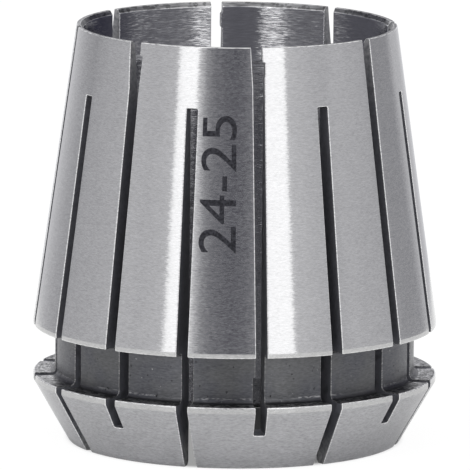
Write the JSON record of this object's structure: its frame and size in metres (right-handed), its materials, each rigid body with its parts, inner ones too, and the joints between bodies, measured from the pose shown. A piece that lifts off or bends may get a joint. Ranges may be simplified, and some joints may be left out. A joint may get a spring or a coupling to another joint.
{
  "type": "er collet",
  "caption": "Spring collet: a slit steel sleeve with a long taper, a nut groove, a short front cone and a straight bore that closes on a tool shank.",
  "frame": {"origin": "centre of the front face, the face of the short cone, on which the collet stands", "axes": "+Z along the bore towards the small rear end; one of the slots cut from the rear lies on -Y"},
  "size_m": [0.033, 0.033, 0.0342],
  "materials": {
    "ground_steel": "fine ground, with grinding marks that run round the axis"
  },
  "bodies": {
    "root": {"collet": "ground_steel"}
  },
  "joints": []
}
